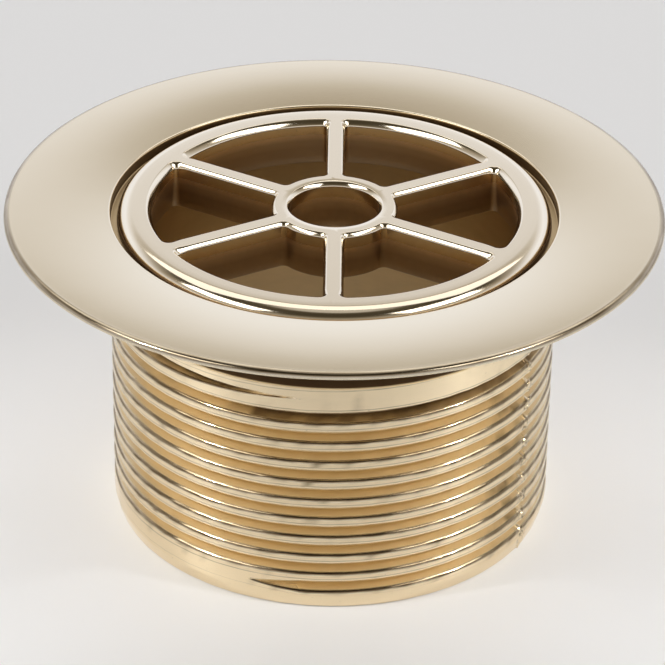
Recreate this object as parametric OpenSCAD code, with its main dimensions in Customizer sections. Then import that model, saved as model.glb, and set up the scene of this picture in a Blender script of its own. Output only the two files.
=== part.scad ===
// Shower waste: a flanged body with a threaded tail, a lift-out grid and the ring seal that holds the grid.
// Millimetres. The tail's open end stands on z = 0 and the waste's axis is Z.
// Sections are drawn as radius against height and turned round the axis.

/* [Flange] */
// Outside diameter of the flange
flange_d = 70; // [64:0.5:90]
// Height of the flange's outer edge above the tail's end
rim_z = 35; // [26:0.5:70]
// Height and radius of the rounded outer edge
rim_h = 0.65; // [0.4:0.05:1.2]
// How far the flange's inner edge lies below the top of its outer edge
dish = 0.45; // [0:0.05:1]
// How far the flange's top bulges above a straight line
crown = 0.2; // [0.1:0.05:0.5]
// Depth of the washer seat below the outer edge
seat_drop = 2.4; // [2:0.1:5]
// Width of the flat washer seat round the neck
seat_w = 5.6; // [3:0.1:6]
// Chamfer on the opening's upper edge
opening_chamfer = 0.2; // [0.1:0.05:0.4]

/* [Tail] */
// Outside diameter over the thread crests
thread_d = 47.8; // [47:0.1:58]
// Pitch of the thread
pitch = 2.309; // [2:0.001:2.8]
// Depth of the thread
thread_depth = 1.16; // [0.8:0.02:1.3]
// Width of the flat crest between two grooves
crest_w = 0.9; // [0.7:0.05:1.1]
// Angle between the two sides of a groove
thread_angle = 55; // [30:1:56]
// Height of the plain band below the first groove
plain_h = 1.95; // [1.6:0.05:5]
// Height of the lead-in slope on the tail's end
lead_h = 1.5; // [0.5:0.1:1.5]
// How far the lead-in slope reduces the radius
lead_in = 0.4; // [0.2:0.05:0.6]
// Height of the smooth collar above the thread's upper end
collar_h = 0.75; // [0.5:0.05:4]
// How far the neck lies inside the thread crests
neck_relief = 0.6; // [0.3:0.05:0.8]
// Height of the slope from the collar to the neck
neck_slope = 0.75; // [0.4:0.05:1.5]
// Height of the neck under the washer seat
neck_h = 4.6; // [4.4:0.1:10]
// Wall between the thread's root and the bore
tail_wall = 2.34; // [1.8:0.02:3]
// Chamfer on the bore's lower edge
bore_chamfer = 0.4; // [0.2:0.05:0.8]

/* [Grid] */
// Width of the shelf that the grid's ring stands on
shelf_w = 1.08; // [0.8:0.02:1.6]
// Radial gap between the grid's ring and the flange
ring_gap = 0.72; // [0.3:0.02:1]
// Height of the ring above its shelf, and the radius of its outer shoulder
ring_h = 1.6; // [1.2:0.05:2.2]
// How far the ring stands above the flange's inner edge
ring_proud = 0.35; // [0:0.05:0.8]
// How far the ring's inner edge reaches in past the tail's bore
ring_lip = 0.8; // [0.4:0.05:1.2]
// Outward slope of the skirt's inner wall, in degrees
draft = 4; // [0:0.5:5]
// Height of the whole grid, down to its skirt's lower edge
grid_h = 5.4; // [5.2:0.1:7]
// Radius on the upper edges of the ring's inside, the webs and the hub
edge_r = 0.35; // [0.2:0.05:0.5]
// Number of webs
web_count = 6; // [3:1:8]
// Width of a web
web_w = 2.1; // [1.4:0.1:3]
// Diameter of the hole in the hub
hub_hole_d = 9.6; // [6:0.1:12]
// Width of the hub's wall
hub_w = 1.9; // [1.4:0.1:3]

/* [Seal] */
// Wall between the grid's socket and the neck
socket_wall = 1.3; // [1:0.05:1.6]
// Radial clearance between the grid's skirt and its socket
skirt_clearance = 0.12; // [0.08:0.01:0.2]
// Thickness of the seal as it lies squeezed in its groove
seal_t = 1.2; // [1:0.05:1.3]
// Clearance between the seal and each surface that it bears on
seal_clearance = 0.04; // [0.01:0.01:0.06]
// Extra height of the seal's groove
groove_play = 0.3; // [0.1:0.05:0.5]
// Height of the lip below the seal's groove
skirt_lip = 0.8; // [0.5:0.05:1.2]
// Gap under the grid, where it stands on its shelf
rest_gap = 0.05; // [0.02:0.01:0.2]

/* [Hidden] */
$fn = 96;
// Allowance by which a cutting shape passes the surface that it cuts
OVER = 1;
CROWN_FN = 1440;

flange_r = flange_d / 2;
crest_r = thread_d / 2;
neck_r = crest_r - neck_relief;
bore_r = crest_r - thread_depth - tail_wall;
socket_r = neck_r - socket_wall;
ring_r = socket_r + shelf_w;
opening_r = ring_r + ring_gap;
ring_inner_r = bore_r - ring_lip;

rim_top = rim_z + rim_h;
inner_edge_z = rim_top - dish;
washer_seat_z = rim_z - seat_drop;

grid_top = inner_edge_z + ring_proud;
ring_base = grid_top - ring_h;
shelf_z = ring_base - rest_gap;
skirt_base = grid_top - grid_h;
ledge_z = skirt_base - rest_gap;

skirt_r = socket_r - skirt_clearance;
groove_floor_r = socket_r - seal_t - 2 * seal_clearance;
groove_h = seal_t + groove_play;
groove_z = skirt_base + skirt_lip;
seal_r = socket_r - seal_clearance - seal_t / 2;
seal_z = groove_z + groove_h / 2;

half_slope = tan(thread_angle / 2);
groove_w = pitch - crest_w;
root_w = groove_w - 2 * thread_depth * half_slope;
collar_top = washer_seat_z - neck_h - neck_slope;
turns = (collar_top - collar_h - plain_h - groove_w) / pitch;

hub_hole_r = hub_hole_d / 2;
hub_middle_r = hub_hole_r + hub_w / 2;
skirt_middle_r = (ring_inner_r + grid_h * tan(draft) + groove_floor_r) / 2;

// The flange's top is an arc from its inner edge to the start of its rounded rim.
crown_a = [opening_r, inner_edge_z];
crown_b = [flange_r - rim_h, rim_top];
crown_chord = crown_b - crown_a;
crown_r = norm(crown_chord) ^ 2 / (8 * crown) + crown / 2;
crown_normal = [-crown_chord[1], crown_chord[0]] / norm(crown_chord);
crown_centre = (crown_a + crown_b) / 2 + (crown - crown_r) * crown_normal;

// Section of the flange: arched top, rounded rim, bevelled underside and flat washer seat.
module flange_section() {
    intersection() {
        translate(crown_centre) circle(r = crown_r, $fn = CROWN_FN);
        polygon([
            [bore_r, washer_seat_z],
            [neck_r + seat_w, washer_seat_z],
            [flange_r, rim_z],
            [flange_r - rim_h, rim_z],
            [flange_r - rim_h, rim_top + OVER],
            [bore_r, rim_top + OVER]
        ]);
    }
    translate([flange_r - rim_h, rim_z]) intersection() {
        circle(r = rim_h);
        square(rim_h);
    }
}

// Section of the tail before its thread is cut: lead-in, plain band, threaded length, collar and neck.
module tail_section() {
    polygon([
        [bore_r + bore_chamfer, 0],
        [crest_r - lead_in, 0],
        [crest_r, lead_h],
        [crest_r, collar_top],
        [neck_r, collar_top + neck_slope],
        [neck_r, washer_seat_z + OVER],
        [bore_r, washer_seat_z + OVER],
        [bore_r, bore_chamfer]
    ]);
}

// Section of the thread: one groove for each whole turn, at the middle height of that turn.
module thread_section() {
    reach = thread_depth + OVER;
    opening = root_w / 2 + reach * half_slope;
    first_z = plain_h + (groove_w + pitch) / 2;
    for (turn = [0:turns - 1]) translate([crest_r - thread_depth, first_z + turn * pitch])
        polygon([[0, -root_w / 2], [reach, -opening], [reach, opening], [0, root_w / 2]]);
}

// Flange and tail in one piece, with the stepped socket that the grid drops into.
module body() color([0.79, 0.71, 0.56]) rotate_extrude() difference() {
    union() {
        flange_section();
        tail_section();
    }
    thread_section();
    translate([0, ledge_z]) square([socket_r, rim_top]);
    translate([0, shelf_z]) square([opening_r, rim_top]);
    polygon([
        [opening_r - OVER, inner_edge_z - opening_chamfer - OVER],
        [opening_r + opening_chamfer + OVER, inner_edge_z + OVER],
        [opening_r - OVER, inner_edge_z + OVER]
    ]);
}

// Section of the grid's ring: domed shoulder outside, rounded edge inside, skirt with the seal's groove.
module ring_section() {
    difference() {
        union() {
            translate([ring_r - ring_h, ring_base]) intersection() {
                circle(r = ring_h);
                square(ring_h);
            }
            polygon([
                [ring_inner_r + grid_h * tan(draft), skirt_base],
                [skirt_r, skirt_base],
                [skirt_r, ring_base],
                [ring_r - ring_h, ring_base],
                [ring_r - ring_h, grid_top],
                [ring_inner_r + edge_r, grid_top],
                [ring_inner_r + edge_r, grid_top - edge_r],
                [ring_inner_r, grid_top - edge_r]
            ]);
            translate([ring_inner_r + edge_r, grid_top - edge_r]) circle(r = edge_r);
        }
        translate([groove_floor_r, groove_z]) square([ring_r, groove_h]);
    }
}

// Section of a bar of width w, as high as the grid, with rounded upper edges.
module bar_section(w) {
    shoulder_z = grid_top - edge_r;
    translate([-w / 2, skirt_base]) square([w, grid_h - edge_r]);
    translate([edge_r - w / 2, shoulder_z]) square([w - 2 * edge_r, edge_r]);
    for (side = [-1, 1]) translate([side * (w / 2 - edge_r), shoulder_z]) circle(r = edge_r);
}

// A web runs from the middle of the hub's wall to the middle of the skirt's wall.
module web() {
    translate([hub_middle_r, 0, 0]) rotate([90, 0, 90])
        linear_extrude(height = skirt_middle_r - hub_middle_r) bar_section(web_w);
}

// Lift-out grid: ring and skirt, hub and webs.
module grid() color([0.83, 0.76, 0.62]) {
    rotate_extrude() ring_section();
    rotate_extrude() translate([hub_middle_r, 0]) bar_section(hub_w);
    for (i = [0:web_count - 1]) rotate(90 + i * 360 / web_count) web();
}

// Ring seal in the skirt's groove, as it lies squeezed against the socket.
module seal() color([0.1, 0.1, 0.1]) rotate_extrude() translate([seal_r, seal_z]) circle(r = seal_t / 2);

body();
grid();
seal();
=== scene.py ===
# %% [markdown]
# # Shower waste
# A round flanged waste with a threaded tail, a grid pushed into the flange, and the ring seal that holds
# the grid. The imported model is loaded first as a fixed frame. It says where each piece is and how it
# moves. Every mesh made below stands in the same frame, in metres, and takes its sizes from that frame or
# from the values named here.

# %% The fixed frame
import math

import bpy
import numpy as np
from mathutils import Matrix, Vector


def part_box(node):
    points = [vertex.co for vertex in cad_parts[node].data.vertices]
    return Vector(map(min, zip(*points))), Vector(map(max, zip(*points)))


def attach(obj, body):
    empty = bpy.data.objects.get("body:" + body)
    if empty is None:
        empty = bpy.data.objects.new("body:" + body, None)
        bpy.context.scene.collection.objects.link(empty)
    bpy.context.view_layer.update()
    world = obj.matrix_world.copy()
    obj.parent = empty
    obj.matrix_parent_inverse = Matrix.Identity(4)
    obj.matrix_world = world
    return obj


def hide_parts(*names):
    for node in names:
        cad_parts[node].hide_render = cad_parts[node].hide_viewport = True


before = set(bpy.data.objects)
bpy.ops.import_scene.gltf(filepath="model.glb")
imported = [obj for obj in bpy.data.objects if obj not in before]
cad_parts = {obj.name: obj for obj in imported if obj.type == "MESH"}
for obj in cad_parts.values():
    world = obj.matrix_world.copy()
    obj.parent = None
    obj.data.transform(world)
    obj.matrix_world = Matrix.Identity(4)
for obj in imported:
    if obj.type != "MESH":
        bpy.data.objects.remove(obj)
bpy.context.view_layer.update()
MM = 0.001

# %% [markdown]
# ## Sizes
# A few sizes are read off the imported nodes, so that the looks follow the frame: the flange's radius, the
# height of its rim, the grid's ring and the seal. The rest are named here in millimetres, with z = 0 at
# the tail's open end.

# %% Sizes in millimetres
body_high = np.array(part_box("body")[1]) / MM
grid_low, grid_high = (np.array(corner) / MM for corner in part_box("grid"))
seal_low, seal_high = (np.array(corner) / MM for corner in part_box("seal"))

FLANGE_R = body_high[1]
RIM_H = 0.65
RIM_Z = body_high[2] - RIM_H - 0.05
INNER_EDGE_Z = RIM_Z + 0.20
CREST_R = 23.9
NECK_R = 23.3
BORE_R = 20.4
SOCKET_R = 22.0
OPENING_R = 23.8
SEAT_Z = RIM_Z - 2.4
SEAT_OUTER_R = NECK_R + 5.6
COLLAR_TOP = SEAT_Z - 5.35
RING_R = grid_high[1]
GRID_TOP = grid_high[2]
GRID_BASE = grid_low[2]
SHELF_Z = GRID_TOP - 1.65
print("flange", round(2 * FLANGE_R, 2), "wide, ring", round(2 * RING_R, 2), "wide")
print("grid from", GRID_BASE.round(2), "to", GRID_TOP.round(2))

# %% [markdown]
# ## Paths with rounded corners
# A turned part is a section swept round an axis. A drawing gives the section as corners, each with a
# radius. Cast and polished edges are never sharp, and on bright metal the small roundings are what
# catches the light. So each corner becomes an arc, with one extra point just before and after it. Those
# two points keep the flat faces beside the arc flat when the shading is smoothed.

# %% A path with rounded corners
def rounded(corners, arc_points=5, support=0.03):
    """Points along straight lines between corners (x, y, radius). At each inner corner the two lines are
    joined by an arc of that radius that touches both, so it starts radius * tan(turn / 2) before it."""
    corners = np.asarray(corners, float)
    parts = [corners[:1, :2]]
    for before, corner, after in zip(corners[:-2], corners[1:-1], corners[2:]):
        into = (corner - before)[:2]
        away = (after - corner)[:2]
        into, away = into / np.linalg.norm(into), away / np.linalg.norm(away)
        turn = math.atan2(into[0] * away[1] - into[1] * away[0], into @ away)
        start = corner[:2] - into * corner[2] * math.tan(abs(turn) / 2)
        left = np.array([-into[1], into[0]]) * math.copysign(1, turn)
        centre = start + left * corner[2]
        angles = np.linspace(0, turn, arc_points)[:, None]
        arc = centre - left * corner[2] * np.cos(angles) + into * corner[2] * np.sin(abs(angles))
        parts += [start[None] - into * support, arc, arc[-1:] + away * support]
    parts.append(corners[-1:, :2])
    return np.concatenate(parts)


def arc_path(start, end, bulge, count):
    """Points on the arc from start to end that rises by bulge, to its left, over its chord's middle."""
    start, end = np.asarray(start, float), np.asarray(end, float)
    chord = end - start
    length = np.linalg.norm(chord)
    left = np.array([-chord[1], chord[0]]) / length
    radius = length**2 / (8 * bulge) + bulge / 2
    half = math.asin(length / (2 * radius))
    angles = np.linspace(-half, half, count)[:, None]
    centre = (start + end) / 2 + left * (bulge - radius)
    return centre + radius * (chord / length * np.sin(angles) + left * np.cos(angles))


# %% [markdown]
# ## From numpy arrays to a Blender mesh
# Every surface below is a grid of points: rows along the section, columns round the axis. Two triangles
# fill each cell. Rows or columns that fall together are welded afterwards, and triangles left with no
# area are dropped, which closes the seams and lets a grid run out into a single ring.

# %% Grids of triangles
def grid_triangles(rows, columns, first=0):
    """Two triangles for each cell of a rows x columns grid of points, numbered row by row from first."""
    corner = first + np.arange(rows - 1)[:, None] * columns + np.arange(columns - 1)
    right, above = corner + 1, corner + columns
    lower = np.stack([corner, right, above + 1], -1)
    upper = np.stack([corner, above + 1, above], -1)
    return np.concatenate([lower, upper]).reshape(-1, 3)


def weld(points, triangles, tolerance=1e-5):
    """Joins points that round to the same multiple of tolerance and drops triangles of no area."""
    keys = np.round(points / tolerance).astype(np.int64)
    _, first, index = np.unique(keys, axis=0, return_index=True, return_inverse=True)
    triangles = index.ravel()[triangles]
    a, b, c = triangles.T
    whole = (a != b) & (b != c) & (c != a)
    return points[first], triangles[whole]


def add_object(name, data):
    """A new object with that data, linked to the scene."""
    made = bpy.data.objects.new(name, data)
    bpy.context.scene.collection.objects.link(made)
    return made


def make_piece(name, sheets, body, node):
    """Joins sheets, (rows, columns, 3) arrays in millimetres, into one closed mesh in place of node."""
    points, triangles, count = [], [], 0
    for sheet in sheets:
        points.append(sheet.reshape(-1, 3))
        triangles.append(grid_triangles(sheet.shape[0], sheet.shape[1], count))
        count += sheet.shape[0] * sheet.shape[1]
    points, triangles = weld(np.concatenate(points), np.concatenate(triangles))
    mesh = bpy.data.meshes.new(name)
    mesh.from_pydata((points * MM).tolist(), [], triangles.tolist())
    mesh.update()
    mesh.polygons.foreach_set("use_smooth", np.ones(len(triangles), bool))
    piece = add_object(name, mesh)
    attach(piece, body)
    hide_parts(node)
    a, b, c = points[triangles.T]
    volume = np.einsum("ij,ij->i", a, np.cross(b, c)).sum() / 6
    edges = np.concatenate([triangles[:, [0, 1]], triangles[:, [1, 2]], triangles[:, [2, 0]]])
    uses = np.unique(np.sort(edges, 1), axis=0, return_counts=True)[1]
    print(name, len(triangles), "triangles,", round(volume, 1), "mm3, open edges", int((uses != 2).sum()))
    return piece


def turned(path, azimuths):
    """Sweeps a path of (radius, height) round the axis. At azimuth a it is at (r cos a, r sin a, z)."""
    radius, height = path[:, :1], path[:, 1:]
    return np.stack([radius * np.cos(azimuths), radius * np.sin(azimuths), height + 0 * azimuths], -1)


# %% [markdown]
# ## The thread
# The tail carries a right-handed parallel pipe thread: 11 turns to the inch, sides at 55 degrees. It
# could be bent from a modifier, but the two ends of the groove and its soft edges are clearer as a
# formula. The surface is a grid in which each row follows one line of the groove's section as it climbs.
# After one whole turn a row has climbed by one pitch, so the last column is the first column moved along
# by the rows of one turn. Rows that would leave the threaded height are held at its edge, where they fall
# together with the smooth band.

# %% Azimuths of the columns
THREAD_START = math.radians(-111.5)
PARTING_LINES = np.radians([-30.0, 150.0])
COLUMN_STEP = math.radians(2.0)
NEAR_PARTING = np.radians([-2.5, -1.9, -1.4, -1.0, -0.6, -0.3, 0.0, 0.3, 0.6, 1.0, 1.4, 1.9, 2.5])
COLUMN_COUNT = 180
LEAST_SPACING = math.radians(0.4)

even = COLUMN_STEP * np.arange(COLUMN_COUNT)
close = ((PARTING_LINES[:, None] + NEAR_PARTING).ravel() - THREAD_START) % (2 * math.pi)
clear = np.abs(even[:, None] - close).min(1) > LEAST_SPACING
columns = THREAD_START + np.sort(np.concatenate([even[clear], close]))
columns = np.append(columns, columns[0] + 2 * math.pi)
print(len(columns), "columns round the tail")

# %% The groove's section
PITCH = 2.309
DEPTH = 1.16
ROOT_HALF = 0.10
HALF_SLOPE = math.tan(math.radians(27.5))
OPENING_HALF = ROOT_HALF + DEPTH * HALF_SLOPE
TURNS = 10.04
LOWEST_GROOVE_Z = 2.655
RUN_IN = 0.04
RUN_OUT = 0.14
ROOT_ROUND = 0.08
CREST_TOP_ROUND = 0.58
CREST_LOW_ROUND = 0.16


def half_section(crest_round):
    """Offset from the groove's middle against depth, from the root to the middle of the crest."""
    corners = [
        (0, DEPTH, 0), (ROOT_HALF, DEPTH, ROOT_ROUND), (OPENING_HALF, 0, crest_round), (PITCH / 2, 0, 0),
    ]
    return np.delete(rounded(corners, 6, 0.02), [1, 2], axis=0)


lower_half = half_section(CREST_TOP_ROUND)[::-1] * [-1, 1]
section = np.concatenate([lower_half, half_section(CREST_LOW_ROUND)[1:]])[:-1]
LINES = len(section)
print(LINES, "lines a turn, groove", round(2 * OPENING_HALF, 2), "mm wide")

# %% The threaded surface
THREAD_LOW_Z = 1.62
THREAD_HIGH_Z = COLLAR_TOP - 0.25
TURN_NUMBERS = np.arange(-1, 12)
CREST_MARGIN = 0.39


def groove_scale(turn):
    """1 along the groove, rising from 0 over the first RUN_IN turns and falling to 0 over the last
    RUN_OUT turns."""
    return np.clip(np.minimum(turn / RUN_IN, (TURNS - turn) / RUN_OUT), 0, 1)


def thread_surface(azimuths):
    """Point (turn n, line k) at azimuth a lies on the groove's centre height z0 + pitch * t, where
    t = n + a / 360, plus the section's height k, as deep as the section's depth k. Height and depth
    shrink where the groove runs out, and the lines farther than CREST_MARGIN from it spread to fit."""
    part = (azimuths - azimuths[0]) / (2 * math.pi)
    turn = TURN_NUMBERS[:, None, None] + part
    offset, depth = section[:, 0][None, :, None], section[:, 1][None, :, None]
    scale = groove_scale(turn)
    shrink = (ROOT_HALF + DEPTH * scale * HALF_SLOPE) / OPENING_HALF
    edge = OPENING_HALF + CREST_MARGIN
    inside = offset * shrink
    stretch = (PITCH / 2 - edge * shrink) / (PITCH / 2 - edge)
    outside = np.sign(offset) * (PITCH / 2 - (PITCH / 2 - np.abs(offset)) * stretch)
    height = LOWEST_GROOVE_Z + PITCH * turn + np.where(np.abs(offset) < edge, inside, outside)
    radius = CREST_R - depth * scale + 0 * height
    height, radius = (x.reshape(-1, len(azimuths)) for x in (height, radius))
    radius = np.where((height <= THREAD_LOW_Z) | (height >= THREAD_HIGH_Z), CREST_R, radius)
    height = np.clip(height, THREAD_LOW_Z, THREAD_HIGH_Z)
    height[:, -1] = np.append(height[LINES:, 0], np.full(LINES, THREAD_HIGH_Z))
    radius[:, -1] = np.append(radius[LINES:, 0], np.full(LINES, CREST_R))
    return radius, height


thread_radius, thread_height = thread_surface(columns)
print("thread rows", thread_radius.shape)

# %% [markdown]
# ## The body's smooth surfaces
# Flange, neck and tail are one casting. Above the thread its surface runs up the collar and the neck, out
# under the flange, over the rounded rim, in across the slightly arched top and down through the stepped
# socket and the bore to the tail's open end. One path round the section, swept round the axis, closes
# against both edges of the thread.

# %% The body's section above and inside the thread
LEDGE_Z = GRID_BASE - 0.05
RIM_TOP = RIM_Z + RIM_H
CROWN = 0.2
CROWN_POINTS = 26
BORE_ROWS = 8

underside = rounded([
    (CREST_R, THREAD_HIGH_Z, 0), (CREST_R, COLLAR_TOP, 0.12), (NECK_R, COLLAR_TOP + 0.75, 0.5),
    (NECK_R, SEAT_Z, 0.35), (SEAT_OUTER_R, SEAT_Z, 1.0), (FLANGE_R, RIM_Z, 0.10),
    (FLANGE_R, RIM_TOP, 0.55), (FLANGE_R - RIM_H, RIM_TOP, 0),
])
crown_start, crown_end = (FLANGE_R - RIM_H, RIM_TOP), (OPENING_R + 0.3, INNER_EDGE_Z + 0.03)
crown = arc_path(crown_start, crown_end, -CROWN, CROWN_POINTS)
inside = rounded([
    tuple(crown[-1]) + (0,), (OPENING_R, INNER_EDGE_Z, 0.22), (OPENING_R, SHELF_Z, 0.15),
    (SOCKET_R, SHELF_Z, 0.25), (SOCKET_R, LEDGE_Z, 0.12), (BORE_R, LEDGE_Z, 0.25),
    (BORE_R, 0.4, 0.3), (BORE_R + 0.4, 0, 0.12), (CREST_R - 0.4, 0, 0.3),
    (CREST_R, 1.5, 0.5), (CREST_R, THREAD_LOW_Z, 0),
])
bore = np.stack([np.full(BORE_ROWS, BORE_R), np.linspace(LEDGE_Z - 1, 1.2, BORE_ROWS)], 1)
above_bore = inside[:, 1] > LEDGE_Z - 0.6
inside = np.concatenate([inside[above_bore], bore, inside[~above_bore]])
body_path = np.concatenate([underside, crown[1:-1], inside])
print(len(body_path), "points round the body's section")

# %% [markdown]
# ## Marks of the mould
# The tail's mould parts along two lines. Each leaves a fine ragged seam up the thread, as the photograph
# shows at the right of the tail. The threads also wander by a hundredth of a millimetre or two, which
# breaks up their bright lines. Both are moves of the surface, made after all points are known, so that
# neighbouring sheets still meet.

# %% Seams and small unevenness
SEAM_RISE = 0.15
SEAM_SPREAD = math.radians(0.33)
RAGGED_RISE = 0.07
RAGGED_SPREAD = math.radians(1.7)
RAGGED_WAVES = [(150, 7.3, 0.4), (230, 12.1, 2.0), (90, 18.7, 4.1), (320, 5.2, 5.5)]
UNEVEN = 0.02
MARKED_R = 22.3
rng = np.random.default_rng(7)
WAVES = 9
ripples = np.stack([
    rng.integers(14, 60, WAVES), rng.uniform(-2.4, 2.4, WAVES), rng.uniform(0, 2 * math.pi, WAVES),
], 1)


def wave_sum(azimuth, z, waves):
    """The sum of sin(n * azimuth + k * z + phase) over the waves (n, k, phase)."""
    return sum(np.sin(n * azimuth + k * z + phase) for n, k, phase in waves)


def mould_marks(points):
    """Moves points of the tail outwards by seams, each a bell curve exp(-(angle / spread)^2) of the angle
    from a parting line that sways a little, and by a sum of sine waves in azimuth and height. A wider
    bell curve times faster waves makes each seam ragged. The move fades out above the collar and leaves
    the inside alone."""
    x, y, z = np.moveaxis(points, -1, 0)
    radius, azimuth = np.hypot(x, y), np.arctan2(y, x)
    sway = 0.005 * np.sin(2.9 * z) + 0.003 * np.sin(11.3 * z + 1)
    away = (azimuth[..., None] - PARTING_LINES + sway[..., None] + math.pi) % (2 * math.pi) - math.pi
    seams = SEAM_RISE * (0.7 + 0.3 * np.sin(5.1 * z)) * np.exp(-((away / SEAM_SPREAD) ** 2)).sum(-1)
    ragged = sum(
        np.sin(k * z + phase)[..., None] * np.sin(n * away + phase) for n, k, phase in RAGGED_WAVES
    )
    seams = seams + RAGGED_RISE * (ragged * np.exp(-((away / RAGGED_SPREAD) ** 2))).sum(-1)
    ripple = wave_sum(azimuth, z, ripples)
    where = np.clip((radius - MARKED_R) / 0.3, 0, 1) * np.clip((COLLAR_TOP + 0.3 - z) / 0.5, 0, 1)
    move = 1 + where * (seams + UNEVEN * ripple / math.sqrt(WAVES)) / radius
    return np.stack([x * move, y * move, z], -1)


smooth_sheet = mould_marks(turned(body_path, columns))
thread_sheet = mould_marks(np.stack([
    thread_radius * np.cos(columns), thread_radius * np.sin(columns), thread_height,
], -1))
body = make_piece("flanged_body", [smooth_sheet, thread_sheet], "waste", "body")

# %% [markdown]
# ## The grid
# The grid is one casting too: a ring with a domed shoulder, six webs and an open hub. It could be cut
# with booleans, but then its corners would stay sharp. Here one sixth of it is worked out from the
# outline of one opening. Each point of that outline knows which way is into the metal, so the bevelled
# upper edge, the drafted wall and the lower edge are the same outline moved by a small amount at each
# height. The bevel is wider on the ring than on the webs and the hub.

# %% Outline of one opening
RING_INNER_R = 19.45
RING_SHOULDER = 1.6
HUB_HOLE_R = 4.8
HUB_R = 6.7
WEB_HALF = 1.05
FILLET = 0.5
SIXTHS = 6
HALF_CELL = math.radians(30)


def fillet_centre(radius, along_out):
    """The corner fillet touches a circle of that radius round the axis and the web's side. Its centre is
    FILLET away from both: inside the ring when along_out is -1, outside the hub when it is 1. Given along
    and across the web."""
    reach, across = radius + along_out * FILLET, WEB_HALF + FILLET
    return np.array([math.sqrt(reach**2 - across**2), across])


def opening_outline(count_arc=13, count_fillet=5, count_web=16):
    """Points and outward directions along half an opening, from the middle of the ring's side, down the
    web's side, to the middle of the hub's side. The web runs along x. Each direction points from the
    opening into the metal."""
    ring_c, hub_c = fillet_centre(RING_INNER_R, -1), fillet_centre(HUB_R, 1)
    ring_a, hub_a = (math.atan2(c[1], c[0]) for c in (ring_c, hub_c))
    ring_angles = np.linspace(HALF_CELL, ring_a, count_arc)
    ring_way = np.stack([np.cos(ring_angles), np.sin(ring_angles)], 1)
    fillet_angles = np.linspace(ring_a, -math.pi / 2, 2 * count_fillet - 1)[1:]
    fillet_way = np.stack([np.cos(fillet_angles), np.sin(fillet_angles)], 1)
    web_x = np.linspace(ring_c[0], hub_c[0], count_web)[1:-1]
    web_way = np.tile([0.0, -1.0], (len(web_x), 1))
    low_angles = np.linspace(-math.pi / 2, -math.pi + hub_a, 2 * count_fillet - 1)
    low_way = np.stack([np.cos(low_angles), np.sin(low_angles)], 1)
    hub_angles = np.linspace(hub_a, HALF_CELL, count_arc)[1:]
    hub_way = -np.stack([np.cos(hub_angles), np.sin(hub_angles)], 1)
    points = np.concatenate([
        RING_INNER_R * ring_way, ring_c + FILLET * fillet_way,
        np.stack([web_x, np.full(len(web_x), WEB_HALF)], 1),
        hub_c + FILLET * low_way, -HUB_R * hub_way,
    ])
    ways = np.concatenate([ring_way, fillet_way, web_way, low_way, hub_way])
    ring_end = count_arc + count_fillet - 1
    hub_start = count_arc + 2 * (count_fillet - 1) + len(web_x) + count_fillet
    return points, ways, ring_end, hub_start


outline, ways, ring_end, hub_start = opening_outline()
print(len(outline), "points on half an opening")

# %% The cell's own edges and the walls
def cell_edge(ring_r, hub_r):
    """Where each outline point is joined to: on the ring's circle, then on the web's middle line, then on
    the hub's circle, always in the same order and evenly spaced, so that neighbouring cells share their
    points."""
    ring_angles = np.linspace(HALF_CELL, 0, ring_end)
    web_x = np.linspace(ring_r, hub_r, hub_start - ring_end + 1)[1:-1]
    hub_angles = np.linspace(0, HALF_CELL, len(outline) - hub_start + 1)
    return np.concatenate([
        ring_r * np.stack([np.cos(ring_angles), np.sin(ring_angles)], 1),
        np.stack([web_x, 0 * web_x], 1),
        hub_r * np.stack([np.cos(hub_angles), np.sin(hub_angles)], 1),
    ])


def bevel(width, height):
    """Rows (move into the metal, height) down an upper edge cut off by a flat slope with soft ends."""
    shape = [[1.1, 0], [1, 0], [0.87, -0.04], [0.5, -0.38], [0.14, -0.74], [0.04, -0.88], [0, -1]]
    return np.array(shape) * [width, height] + [0, GRID_TOP]


RING_BEVEL, WEB_BEVEL = bevel(0.55, 0.72), bevel(0.38, 0.50)
UNDER_EDGE = 0.15
DRAFT = 0.26
WALL_ROWS = 6
BLEND_REACH = 1.1
BLEND_WIDTH = 0.9

wall_z = np.linspace(WEB_BEVEL[-1, 1] - 0.03, GRID_BASE + UNDER_EDGE, WALL_ROWS)
low_arc = np.array([[0.3 * UNDER_EDGE, GRID_BASE + 0.3 * UNDER_EDGE], [UNDER_EDGE, GRID_BASE]])
wall = np.concatenate([
    WEB_BEVEL,
    np.stack([np.linspace(0.004, DRAFT, WALL_ROWS), wall_z], 1),
    low_arc + [DRAFT, 0], [[DRAFT + UNDER_EDGE + 0.03, GRID_BASE]],
])
ring_wall = wall.copy()
straight = slice(len(WEB_BEVEL), len(WEB_BEVEL) + WALL_ROWS)
ring_wall[:len(RING_BEVEL)] = RING_BEVEL
ring_wall[straight, 1] = np.linspace(RING_BEVEL[-1, 1] - 0.03, GRID_BASE + UNDER_EDGE, WALL_ROWS)
on_ring = np.clip((np.hypot(*outline.T) - RING_INNER_R + BLEND_REACH) / BLEND_WIDTH, 0, 1)[None, :, None]
walls = wall[:, None] * (1 - on_ring) + ring_wall[:, None] * on_ring
print(walls.shape[0], "points down a wall,", walls.shape[1], "along it")

# %% Half cells
TOP_FLAT_R = RING_R - RING_SHOULDER
HUB_TOP_R = HUB_HOLE_R + WEB_BEVEL[1, 0]
SKIRT_R = 21.88
UNDER_R = SKIRT_R - UNDER_EDGE
HUB_UNDER_R = HUB_HOLE_R + UNDER_EDGE


def flat_row(edge, z):
    """The points (x, y) of an edge, all at height z."""
    return np.concatenate([edge, np.full((len(edge), 1), z)], 1)


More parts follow.
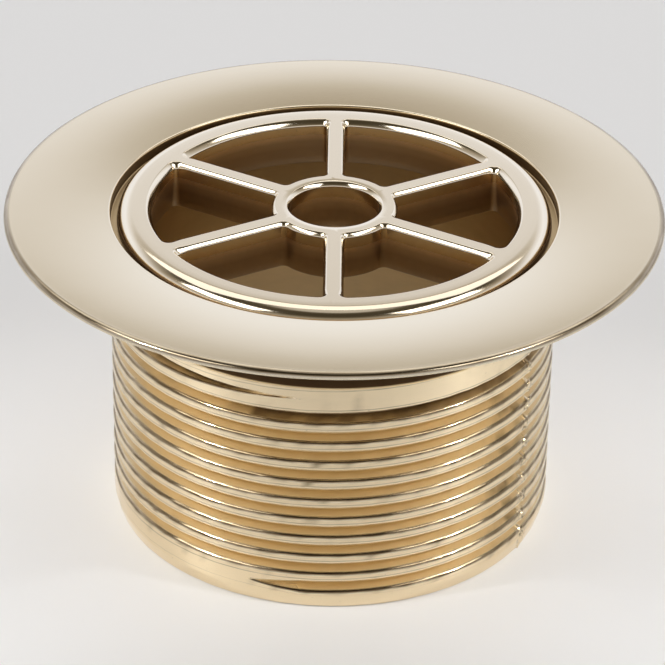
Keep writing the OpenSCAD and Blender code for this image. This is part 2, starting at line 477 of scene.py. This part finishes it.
def half_cell():
    """Rows from the cell's top edge, over the bevel, down the wall and out along the underside."""
    top = flat_row(cell_edge(TOP_FLAT_R, HUB_TOP_R), GRID_TOP)
    under = flat_row(cell_edge(UNDER_R, HUB_UNDER_R), GRID_BASE)
    between = np.concatenate([outline + walls[..., :1] * ways, walls[..., 1:]], -1)
    halfway = 0.5 * (top + between[0])
    halfway_under = 0.5 * (under + between[-1])
    return np.concatenate([top[None], halfway[None], between, halfway_under[None], under[None]])


def turn_about_z(points, angle):
    """Points turned about the axis by an angle in radians."""
    c, s = math.cos(angle), math.sin(angle)
    return points @ np.array([[c, s, 0], [-s, c, 0], [0, 0, 1]])


half = half_cell()
cells = []
for sixth in range(SIXTHS):
    angle = math.radians(90 + 60 * sixth)
    cells.append(turn_about_z(half, angle)[:, ::-1])
    cells.append(turn_about_z(half * [1, -1, 1], angle))
print(len(cells), "half cells of", half.shape)

# %% [markdown]
# ## Ring, skirt and hub wall
# What is left of the grid is turned: the domed shoulder, the seat that rests on the flange's shelf, the
# skirt with the seal's groove, and the wall of the hub's hole. They are swept through the same angles as
# the cells' own edges, so every point meets one of theirs.

# %% Turned surfaces of the grid
GROOVE_FLOOR_R = 20.72
GROOVE_LOW_Z = GRID_BASE + 0.8
GROOVE_HIGH_Z = GROOVE_LOW_Z + 1.5
RING_BASE = GRID_TOP - RING_SHOULDER
SHOULDER_POINTS = 16


def round_grid(steps):
    """Azimuths all the way round from the back web, evenly spaced, that many steps to a sixth."""
    sixth = np.linspace(0, math.radians(60), steps + 1)[:-1]
    azimuths = math.radians(90) + (np.radians(60 * np.arange(SIXTHS))[:, None] + sixth).ravel()
    return np.append(azimuths, azimuths[0] + 2 * math.pi)


ring_azimuths = round_grid(2 * (ring_end - 1))
hub_azimuths = round_grid(2 * (len(outline) - hub_start))
shoulder_angles = np.linspace(math.pi / 2, 0, SHOULDER_POINTS)
shoulder = np.stack([np.cos(shoulder_angles), np.sin(shoulder_angles)], 1) * RING_SHOULDER
shoulder = shoulder + [TOP_FLAT_R, RING_BASE]
skirt = rounded([
    (RING_R, RING_BASE + 0.1, 0), (RING_R, RING_BASE, 0.08), (SKIRT_R, RING_BASE, 0.08),
    (SKIRT_R, GROOVE_HIGH_Z, 0.08), (GROOVE_FLOOR_R, GROOVE_HIGH_Z, 0.1),
    (GROOVE_FLOOR_R, GROOVE_LOW_Z, 0.1), (SKIRT_R, GROOVE_LOW_Z, 0.08),
    (SKIRT_R, GRID_BASE, UNDER_EDGE - 0.03), (UNDER_R, GRID_BASE, 0),
], 4)
ring_path = np.concatenate([shoulder[:-1], skirt[1:]])[::-1]
hub_path = np.concatenate([WEB_BEVEL[1:], np.stack([0 * wall_z, wall_z], 1), low_arc]) + [HUB_HOLE_R, 0]
grid = make_piece(
    "lift_out_grid",
    cells + [turned(ring_path, ring_azimuths), turned(hub_path, hub_azimuths)],
    "insert", "grid",
)

# %% [markdown]
# ## The seal
# A ring seal lies squeezed in the skirt's groove and holds the grid by friction. It only shows when the
# grid is lifted out. It is a torus: a small circle swept round the axis.

# %% Ring seal
SEAL_HALF = (seal_high[2] - seal_low[2]) / 2
SEAL_R = seal_high[1] - SEAL_HALF
SEAL_Z = (seal_high[2] + seal_low[2]) / 2
around = np.linspace(0, 2 * math.pi, 25)
seal_azimuths = np.linspace(0, 2 * math.pi, 181)
seal_path = np.stack([SEAL_R + SEAL_HALF * np.cos(around), SEAL_Z + SEAL_HALF * np.sin(around)], 1)
seal_path[-1] = seal_path[0]
seal = make_piece("ring_seal", [turned(seal_path, seal_azimuths)], "carrier", "seal")

# %% [markdown]
# ## Plating
# The waste is brass with a polished pale-gold plating. It is a metal throughout, so its look is mostly
# what it mirrors. Four things keep it from looking like a computer's mirror: the polish varies a little
# from place to place, the cast surface under it is very slightly wavy, a darker, warmer painted shade
# fills the grooves, the gaps, the bore and the flange's underside, and painted dark lines, which stand in
# for dark reflections, follow the ridges of the thread and the flange's rim. The first two are noise. The
# others read attributes that are painted from the shape.

# %% Where shade is painted
# The tail's slight tone, the levels of painted shade in the grooves, the gaps, the socket and the bore, and
# the levels of the painted dark lines and the dark patches.
TAIL_TONE = 0.45
SOCKET_TONE = 1.25
DARKEST_SHADE_TONE = 2
GRID_WALL_TONE = 1.6
BORE_DARKER = 0.2
BORE_FADE = 0.55
LAST_TURN_DARKER = 0.75
PATCH_TONE = 0.85
RIM_SHADE_TONE = 0.8
PATCH_WAVES = [(9, 1.3, 0.6), (17, -2.1, 3.0), (31, 3.7, 1.2), (47, -5.0, 4.4)]


def fade(value, zero_at, one_at):
    """0 up to zero_at and 1 from one_at on, with a straight line between. It may run either way."""
    return np.clip((value - zero_at) / (one_at - zero_at), 0, 1)


def height_over_groove(azimuth, z):
    """Height over the middle of the thread's lowest groove, z - z0 - pitch * turn, at that azimuth."""
    return z - LOWEST_GROOVE_Z - PITCH * (((azimuth - THREAD_START) / (2 * math.pi)) % 1)


def on_thread(radius, z):
    """Whether a point lies on the threaded surface."""
    return (radius > CREST_R - DEPTH - 0.3) & (z > THREAD_LOW_Z) & (z < THREAD_HIGH_Z)


def paint(piece, recess_of, line_of):
    """Stores three numbers at each vertex. recess is how deep in a recess it lies, which sets its painted
    shade: 0 outside, 1 in a recess, 2 for the darkest painted shade. edge_shade is 1 along the edges that
    get a painted dark line, which stands in for a dark reflection. above_groove is the height over the
    middle of the nearest groove below."""
    mesh = piece.data
    points = np.empty(len(mesh.vertices) * 3, np.float32)
    mesh.vertices.foreach_get("co", points)
    x, y, z = points.reshape(-1, 3).T / MM
    azimuth, radius = np.arctan2(y, x), np.hypot(x, y)
    for name, values in (
        ("recess", recess_of(azimuth, radius, z)), ("edge_shade", line_of(azimuth, radius, z)),
        ("above_groove", np.where(on_thread(radius, z), height_over_groove(azimuth, z) % PITCH, 0)),
    ):
        layer = mesh.attributes.new(name, "FLOAT", "POINT")
        layer.data.foreach_set("value", values.astype(np.float32))
        print(piece.name, name, values.mean().round(3))


def body_recess(azimuth, radius, z):
    """The tail has a slight tone all over, and its grooves a full one of painted shade, darker still on the
    last turn under the collar. The socket and the bore get painted shade, the bore less so with depth. The
    gap round the grid, the neck and the flange's underside get the darkest painted shade."""
    tail = TAIL_TONE * fade(z, SEAT_Z + 1.2, SEAT_Z - 0.3)
    groove = fade(radius, CREST_R - 0.15, CREST_R - 0.35) * (z > THREAD_LOW_Z) * (z < THREAD_HIGH_Z)
    last_turn = fade(height_over_groove(azimuth, z), 8.6 * PITCH, 8.6 * PITCH + 0.3)
    groove = groove * (1 + LAST_TURN_DARKER * last_turn)
    gap = (radius < OPENING_R + 0.15) * fade(z, INNER_EDGE_Z - 0.03, INNER_EDGE_Z - 0.25)
    socket = np.where(z < SHELF_Z + 0.08, SOCKET_TONE, DARKEST_SHADE_TONE * gap)
    in_bore = (radius < BORE_R + 0.6) & (z > 0.3)
    socket = socket + in_bore * (BORE_DARKER - BORE_FADE * fade(z, LEDGE_Z - 4, LEDGE_Z - 10))
    under_z = SEAT_Z + (RIM_Z - SEAT_Z) * fade(radius, SEAT_OUTER_R, FLANGE_R)
    darkest_shade = fade(z, THREAD_HIGH_Z, THREAD_HIGH_Z + 0.3) * fade(radius, FLANGE_R - 0.5, FLANGE_R - 1.3)
    darkest_shade = DARKEST_SHADE_TONE * darkest_shade * (radius > NECK_R - 0.2) * (z < under_z + 0.1)
    outside = (radius > NECK_R - 1.4) & (z < COLLAR_TOP + 1)
    return np.maximum.reduce([tail, darkest_shade, np.where(outside, groove, socket)])


def body_edge_shade(azimuth, radius, z):
    """A painted dark line, standing in for a dark reflection: 1 on the rounded upper edge of each ridge, by
    its depth below the crest, where the height over the groove's middle, folded into half a pitch either
    way, is on the groove's lower side. The flange's rounded rim gets a painted dark line nearly as dark.
    Patches, a sum of sine waves in azimuth and height, darken the grooves under the collar and beside the
    front seam."""
    offset = (height_over_groove(azimuth, z) + PITCH / 2) % PITCH - PITCH / 2
    depth = CREST_R - radius
    line = fade(depth, 0.01, 0.06) * fade(depth, 0.27, 0.15) * (offset < -0.2)
    rim = fade(radius, FLANGE_R - 0.62, FLANGE_R - 0.47) * fade(z, RIM_Z + 0.10, RIM_Z + 0.22)
    under_collar = fade(z, COLLAR_TOP - 4.6, COLLAR_TOP - 3.1)
    beside_seam = np.exp(-(((azimuth - PARTING_LINES[0] + 0.13) / 0.11) ** 2))
    patches = fade(wave_sum(azimuth, z, PATCH_WAVES), 0, 1.6) * fade(depth, 0, 0.15)
    patches = patches * np.clip(under_collar + beside_seam, 0, 1)
    return np.maximum(np.maximum(line, PATCH_TONE * patches) * on_thread(radius, z), RIM_SHADE_TONE * rim)


def grid_recess(azimuth, radius, z):
    """Painted shade: the walls of the openings darken with depth, and the ring's outside does below its
    shoulder, in the gap beside the flange.
    """
    inner = GRID_WALL_TONE * fade(z, GRID_TOP - 0.6, GRID_TOP - 2.8) * (radius < RING_R - 1)
    outer = DARKEST_SHADE_TONE * fade(z, GRID_TOP - 0.8, GRID_TOP - 1.15) * (radius > RING_R - 0.4)
    return inner + outer


def no_lines(azimuth, radius, z):
    """The grid has no dark edges."""
    return 0 * z


paint(body, body_recess, body_edge_shade)
paint(grid, grid_recess, no_lines)

# %% A node group for polished plating
# Drawn marks and pits are the plating's own. The crest line, the edge lines and the two darker tones are
# painted shade.
DRAWN_DARKEN, DRAWN_MEAN = 0.16, 0.06
PIT_LEVEL, PIT_GAIN, PIT_DARKEN = 0.71, 18.0, 0.5
CREST_SHADE_HEIGHT, CREST_SHADE_HALF, CREST_SHADE_DARKEN = 0.96, 0.09, 0.85
EDGE_SHADE_COLOUR = (0.16, 0.105, 0.05, 1)
DARKEST_SHADE_COLOUR = (0.15, 0.095, 0.05, 1)
LINE_GAIN, LINE_LEAST = 0.9, 0.4
GROOVE_ROUGHNESS = 0.25
SPECK_RELIEF, DRAWN_RELIEF = 0.05, 2.2
ROLL_OUT = 0.006


def build_plating():
    """Colour, roughness and height of a polished plating, from the place on the piece and the painted
    attributes, which mix in a darker, warmer painted shade and painted dark edge lines. Marks left by the
    die run along the thread, so their noise reads (azimuth * ROLL_OUT, radius, z), which stretches it round
    the tail. A fine painted dark line, standing in for a dark reflection, runs along each crest,
    CREST_SHADE_HEIGHT mm over the groove's middle."""
    tree = bpy.data.node_groups.new("polished_plating", "ShaderNodeTree")
    sockets = tree.interface
    # The second and third colours are the tones of painted shade.
    for name, kind, value in (
        ("Plating", "NodeSocketColor", (0.87, 0.77, 0.58, 1)),
        ("Shaded Plating", "NodeSocketColor", (0.8, 0.6, 0.3, 1)),
        ("Darkest Shade", "NodeSocketColor", DARKEST_SHADE_COLOUR),
        ("Polish", "NodeSocketFloat", 0.12), ("Uneven Polish", "NodeSocketFloat", 0.06),
    ):
        sockets.new_socket(name, in_out="INPUT", socket_type=kind).default_value = value
    for name, kind in (("Color", "Color"), ("Roughness", "Float"), ("Height", "Float")):
        sockets.new_socket(name, in_out="OUTPUT", socket_type="NodeSocket" + kind)
    nodes, link = tree.nodes, tree.links.new
    entry, leave = nodes.new("NodeGroupInput"), nodes.new("NodeGroupOutput")

    def node(kind, **settings):
        made = nodes.new("ShaderNode" + kind)
        for setting, value in settings.items():
            setattr(made, setting, value)
        return made

    def noise(vector, scale, detail, label):
        texture = node("TexNoise", label=label)
        texture.inputs["Scale"].default_value = scale
        texture.inputs["Detail"].default_value = detail
        link(vector, texture.inputs["Vector"])
        return texture.outputs["Fac"]

    def calculate(operation, *values):
        made = node("Math", operation=operation)
        for socket, value in zip(made.inputs, values):
            if isinstance(value, float):
                socket.default_value = value
            else:
                link(value, socket)
        return made.outputs[0]

    def mix(factor, a, b):
        made = node("Mix", data_type="RGBA")
        link(factor, made.inputs["Factor"])
        link(a, made.inputs["A"])
        if isinstance(b, tuple):
            made.inputs["B"].default_value = b
        else:
            link(b, made.inputs["B"])
        return made.outputs["Result"]

    place = node("TexCoord").outputs["Object"]
    depth, edge_shade, above_groove = (
        node("Attribute", attribute_name=name).outputs["Fac"]
        for name in ("recess", "edge_shade", "above_groove")
    )
    split, rolled = node("SeparateXYZ"), node("CombineXYZ")
    link(place, split.inputs["Vector"])
    x, y, z = split.outputs
    radius = calculate("SQRT", calculate("ADD", calculate("MULTIPLY", x, x), calculate("MULTIPLY", y, y)))
    link(calculate("MULTIPLY", calculate("ARCTAN2", y, x), ROLL_OUT), rolled.inputs["X"])
    link(radius, rolled.inputs["Y"])
    link(z, rolled.inputs["Z"])

    recessed = calculate("MINIMUM", depth, 1.0)
    darkest_shade = calculate("MAXIMUM", calculate("SUBTRACT", depth, 1.0), 0.0)
    in_groove = calculate("MAXIMUM", calculate("MULTIPLY_ADD", recessed, 2.0, -1.0), 0.0)
    cloudy = noise(place, 60, 3, "cloudy polish")
    wavy = noise(place, 260, 1, "cast surface")
    drawn = noise(rolled.outputs["Vector"], 1300, 3, "marks along the thread")
    specks = noise(place, 2600, 2, "specks")
    pits = calculate("MAXIMUM", calculate("SUBTRACT", specks, PIT_LEVEL), 0.0)
    pits = calculate("MULTIPLY", pits, PIT_GAIN)
    pits = calculate("MULTIPLY", pits, calculate("SUBTRACT", recessed, in_groove))

    drawn_in = calculate("MULTIPLY", drawn, recessed)
    shade = calculate("SUBTRACT", 1.0, calculate("MULTIPLY", drawn_in, DRAWN_DARKEN))
    shade = calculate("ADD", shade, DRAWN_MEAN)
    shade = calculate("SUBTRACT", shade, calculate("MULTIPLY", pits, PIT_DARKEN))
    # A painted dark line along each crest, which stands in for a dark reflection.
    from_crest_shade = calculate("ABSOLUTE", calculate("SUBTRACT", above_groove, CREST_SHADE_HEIGHT))
    crest_shade = calculate("MAXIMUM", calculate("MULTIPLY_ADD", from_crest_shade, -1 / CREST_SHADE_HALF, 1.0), 0.0)
    crest_shade = calculate("MULTIPLY", crest_shade, calculate("MULTIPLY", drawn, CREST_SHADE_DARKEN))
    # Painted shade: recesses take the darker, warmer tone, and the darkest places the darkest one.
    tone = mix(recessed, entry.outputs["Plating"], entry.outputs["Shaded Plating"])
    tone = mix(darkest_shade, tone, entry.outputs["Darkest Shade"])
    # Painted dark lines along the ridges' edges and the rim, which stand in for dark reflections.
    edge_shaded = calculate("MULTIPLY", edge_shade, calculate("MULTIPLY_ADD", drawn, LINE_GAIN, LINE_LEAST))
    shaded = node("VectorMath", operation="SCALE")
    link(mix(edge_shaded, tone, EDGE_SHADE_COLOUR), shaded.inputs["Vector"])
    link(calculate("SUBTRACT", shade, crest_shade), shaded.inputs["Scale"])
    link(shaded.outputs["Vector"], leave.inputs["Color"])

    rough = calculate("MULTIPLY_ADD", cloudy, entry.outputs["Uneven Polish"], entry.outputs["Polish"])
    link(calculate("MULTIPLY_ADD", in_groove, GROOVE_ROUGHNESS, rough), leave.inputs["Roughness"])
    height = calculate("MULTIPLY_ADD", specks, SPECK_RELIEF, wavy)
    height = calculate("MULTIPLY_ADD", drawn_in, DRAWN_RELIEF, height)
    link(calculate("SUBTRACT", height, pits), leave.inputs["Height"])
    return tree


def new_material(name):
    """A new material, with its nodes, the function that links them, and its Principled BSDF."""
    material = bpy.data.materials.new(name)
    material.use_nodes = True
    nodes = material.node_tree.nodes
    return material, nodes, material.node_tree.links.new, nodes["Principled BSDF"]


def plating_material(name, plating, shaded_tone, polish, bump):
    """A metal whose colour, roughness and bump come from the plating group."""
    material, nodes, link, shader = new_material(name)
    shader.inputs["Metallic"].default_value = 1.0
    group = nodes.new("ShaderNodeGroup")
    group.node_tree = bpy.data.node_groups.get("polished_plating") or build_plating()
    group.inputs["Plating"].default_value = plating + (1,)
    group.inputs["Shaded Plating"].default_value = shaded_tone + (1,)
    group.inputs["Polish"].default_value = polish
    relief = nodes.new("ShaderNodeBump")
    relief.inputs["Strength"].default_value = bump
    relief.inputs["Distance"].default_value = 0.00002
    link(group.outputs["Color"], shader.inputs["Base Color"])
    link(group.outputs["Roughness"], shader.inputs["Roughness"])
    link(group.outputs["Height"], relief.inputs["Height"])
    link(relief.outputs["Normal"], shader.inputs["Normal"])
    return material


# The second colour of each is the darker, warmer tone of painted shade in recesses.
for piece, name, plating, shaded_tone, polish, bump in (
    (body, "body_plating", (0.88, 0.78, 0.60), (0.79, 0.60, 0.335), 0.12, 0.25),
    (grid, "grid_plating", (0.90, 0.80, 0.63), (0.80, 0.58, 0.36), 0.08, 0.15),
):
    piece.data.materials.append(plating_material(name, plating, shaded_tone, polish, bump))
    print(piece.name, "has", name)

# %% [markdown]
# ## Rubber
# The seal is soft black rubber, not quite black, with a dull sheen and a faint grain.

# %% Black rubber
def rubber_material():
    """Black rubber with a grain in its tone and its relief."""
    material, nodes, link, shader = new_material("seal_rubber")
    place, grain, relief = (nodes.new("ShaderNode" + kind) for kind in ("TexCoord", "TexNoise", "Bump"))
    shade = nodes.new("ShaderNodeValToRGB")
    grain.inputs["Scale"].default_value = 2200
    shade.color_ramp.elements[0].color = (0.018, 0.018, 0.018, 1)
    shade.color_ramp.elements[1].color = (0.035, 0.034, 0.033, 1)
    relief.inputs["Strength"].default_value = 0.3
    relief.inputs["Distance"].default_value = 0.00003
    shader.inputs["Roughness"].default_value = 0.55
    link(place.outputs["Object"], grain.inputs["Vector"])
    link(grain.outputs["Fac"], shade.inputs["Fac"])
    link(shade.outputs["Color"], shader.inputs["Base Color"])
    link(grain.outputs["Fac"], relief.inputs["Height"])
    link(relief.outputs["Normal"], shader.inputs["Normal"])
    return material


seal.data.materials.append(rubber_material())
print(seal.name, "has", seal.data.materials[0].name)

# %% [markdown]
# ## Floor, light and camera
# Bright metal shows its room, so the room is the last part of the finish. A pale floor carries the
# shadow. It glows a little for the camera and for mirrored and transmitted rays only, which makes the
# background paler without more light on the waste. From below, the floor lets the view through, so that
# the tail's open end and the flange's underside can be looked at. The sky is pale low down and dim above,
# like a studio with white walls and a dark ceiling, and its pale part reaches higher at the back, where
# the flange mirrors it. Two soft lamps stand to the left and right. One hangs behind, and its shadow
# falls to the front, so that the thread mirrors a floor that is dimmer in front than at the sides. Two
# spot lamps lift the floor at the sides a little more.

# %% Floor
FLOOR_GLOW = 0.1
FLOOR_HALF = 3.0
FLOOR_GAP = 0.00005


def floor_material():
    """A pale, slightly glossy floor that can be seen only from above."""
    material, nodes, link, shader = new_material("pale_floor")
    for name, value in (
        ("Base Color", (0.82, 0.82, 0.82, 1)), ("Roughness", 0.45), ("Specular IOR Level", 0.4),
        ("Emission Color", (1, 1, 1, 1)),
    ):
        shader.inputs[name].default_value = value
    path = nodes.new("ShaderNodeLightPath")
    seen = path.outputs["Is Camera Ray"]
    for ray in ("Is Glossy Ray", "Is Transmission Ray"):
        either = nodes.new("ShaderNodeMath")
        either.operation = "MAXIMUM"
        link(seen, either.inputs[0])
        link(path.outputs[ray], either.inputs[1])
        seen = either.outputs["Value"]
    glow = nodes.new("ShaderNodeMath")
    glow.operation = "MULTIPLY"
    glow.inputs[1].default_value = FLOOR_GLOW
    link(seen, glow.inputs[0])
    link(glow.outputs["Value"], shader.inputs["Emission Strength"])
    side, glass, mix = (
        nodes.new("ShaderNode" + kind) for kind in ("NewGeometry", "BsdfTransparent", "MixShader")
    )
    link(side.outputs["Backfacing"], mix.inputs["Fac"])
    link(shader.outputs["BSDF"], mix.inputs[1])
    link(glass.outputs["BSDF"], mix.inputs[2])
    link(mix.outputs["Shader"], nodes["Material Output"].inputs["Surface"])
    return material


floor_mesh = bpy.data.meshes.new("floor")
corners = [(x * FLOOR_HALF, y * FLOOR_HALF, 0) for x, y in ((-1, -1), (1, -1), (1, 1), (-1, 1))]
floor_mesh.from_pydata(corners, [], [(0, 1, 2, 3)])
floor_mesh.materials.append(floor_material())
floor = add_object("floor", floor_mesh)
floor.location.z = -FLOOR_GAP
print("floor", 2 * FLOOR_HALF, "m square")

# %% Sky
world = bpy.data.worlds.new("studio")
bpy.context.scene.world = world
world.use_nodes = True
sky_nodes, sky_link = world.node_tree.nodes, world.node_tree.links.new
sky_place = sky_nodes.new("ShaderNodeTexCoord")
sky_split = sky_nodes.new("ShaderNodeSeparateXYZ")
back_part = sky_nodes.new("ShaderNodeMapRange")
back_part.inputs["From Min"].default_value = 0.2
back_part.inputs["From Max"].default_value = 0.6
both = sky_nodes.new("ShaderNodeMix")
both.data_type = "RGBA"
sky_link(sky_place.outputs["Generated"], sky_split.inputs["Vector"])
sky_link(sky_split.outputs["Y"], back_part.inputs["Value"])
sky_link(back_part.outputs["Result"], both.inputs["Factor"])
sky_link(both.outputs["Result"], sky_nodes["Background"].inputs["Color"])

# Each step is an elevation in degrees and the sky's level there.
FRONT_STEPS = [(0, 0.85), (17, 0.72), (27, 0.36), (35, 0.22), (43, 0.06), (60, 0.05), (72, 0.08), (80, 0.5)]
BACK_STEPS = [
    (0, 0.85), (19, 0.92), (23, 0.86), (29, 0.74), (33, 0.56),
    (40, 0.42), (48, 0.14), (72, 0.12), (80, 0.5),
]
for side_input, steps in (("A", FRONT_STEPS), ("B", BACK_STEPS)):
    part = sky_nodes.new("ShaderNodeValToRGB")
    ramp = part.color_ramp
    for _ in steps[2:]:
        ramp.elements.new(0.5)
    for element, (degrees, level) in zip(ramp.elements, steps):
        element.position = math.sin(math.radians(degrees))
        element.color = (level, level * (0.80 + 0.27 * level), level * (0.47 + 0.78 * level), 1)
    sky_link(sky_split.outputs["Z"], part.inputs["Fac"])
    sky_link(part.outputs["Color"], both.inputs[side_input])
    print("sky", side_input, "has", len(ramp.elements), "steps")

# %% Lamps
SOFT_BOX_DISTANCE = 0.8
POOL_DISTANCE = 0.7


def hang(light, aim, bearing, elevation, distance):
    """Puts a lamp at that distance from the floor's point aim, facing it, bearing degrees round from the
    camera's side and elevation degrees up."""
    turn, rise = math.radians(bearing), math.radians(elevation)
    flat, up = distance * math.cos(rise), distance * math.sin(rise)
    lamp = add_object(light.name, light)
    lamp.location = (aim[0] + flat * math.sin(turn), aim[1] - flat * math.cos(turn), up)
    lamp.rotation_euler = (math.pi / 2 - rise, 0, turn)
    print(light.name, "at", np.round(lamp.location, 3), round(light.energy, 2), "W")


def soft_box(name, bearing, elevation, width, height, brightness):
    """A rectangular area lamp that faces the waste. Its watts are brightness times pi times its area."""
    panel = bpy.data.lights.new(name, "AREA")
    panel.shape = "RECTANGLE"
    panel.size, panel.size_y = width, height
    panel.energy = brightness * math.pi * width * height
    hang(panel, (0, 0), bearing, elevation, SOFT_BOX_DISTANCE)


def pool_lamp(name, aim, bearing, elevation, pool, watts):
    """A soft spot lamp that throws a pool of light, pool metres wide, on the floor round aim."""
    spot = bpy.data.lights.new(name, "SPOT")
    spot.energy, spot.shadow_soft_size = watts, 0.04
    spot.spot_size, spot.spot_blend = 2 * math.atan(pool / 2 / POOL_DISTANCE), 0.5
    hang(spot, aim, bearing, elevation, POOL_DISTANCE)


soft_box("right_softbox", 64, 44, 0.55, 0.24, 3.0)
soft_box("left_softbox", -66, 44, 0.55, 0.24, 3.0)
soft_box("back_lamp", 180, 64, 1.10, 0.50, 1.1)
pool_lamp("right_pool", (0.042, -0.0154), 70, 40, 0.055, 22)
pool_lamp("left_pool", (-0.042, -0.0154), -70, 40, 0.055, 22)

# %% [markdown]
# The camera is the one that fits the photograph: a long lens from the front, looking down by about thirty
# degrees, with the horizon a little tilted.

# %% Camera
SENSOR_WIDTH = 36
LENS_PIXELS = 3370.0
PICTURE_PIXELS = 665.0
CAMERA_DISTANCE = 0.3579
CAMERA_ELEVATION = math.radians(28.46)
LOOK_DOWN = math.radians(30.57)
ROLL = math.radians(0.934)
FLANGE_HEIGHT = 0.035

eye = np.array([0, -math.cos(CAMERA_ELEVATION), math.sin(CAMERA_ELEVATION)]) * CAMERA_DISTANCE
eye[2] += FLANGE_HEIGHT
forward = np.array([0, math.cos(LOOK_DOWN), -math.sin(LOOK_DOWN)])
level_right, level_up = np.array([1.0, 0, 0]), np.array([0, math.sin(LOOK_DOWN), math.cos(LOOK_DOWN)])
right = math.cos(ROLL) * level_right + math.sin(ROLL) * level_up
up = math.cos(ROLL) * level_up - math.sin(ROLL) * level_right
camera_data = bpy.data.cameras.new("camera")
camera_data.sensor_width = SENSOR_WIDTH
camera_data.lens = LENS_PIXELS / PICTURE_PIXELS * SENSOR_WIDTH
camera_data.clip_start = 0.01
camera = add_object("camera", camera_data)
placing = np.eye(4)
placing[:3, :3] = np.stack([right, up, -forward], 1)
placing[:3, 3] = eye
camera.matrix_world = Matrix(placing.tolist())
bpy.context.scene.camera = camera
bpy.context.scene.view_settings.view_transform = "Standard"
print("lens", round(camera_data.lens, 1), "mm, eye", eye.round(4))
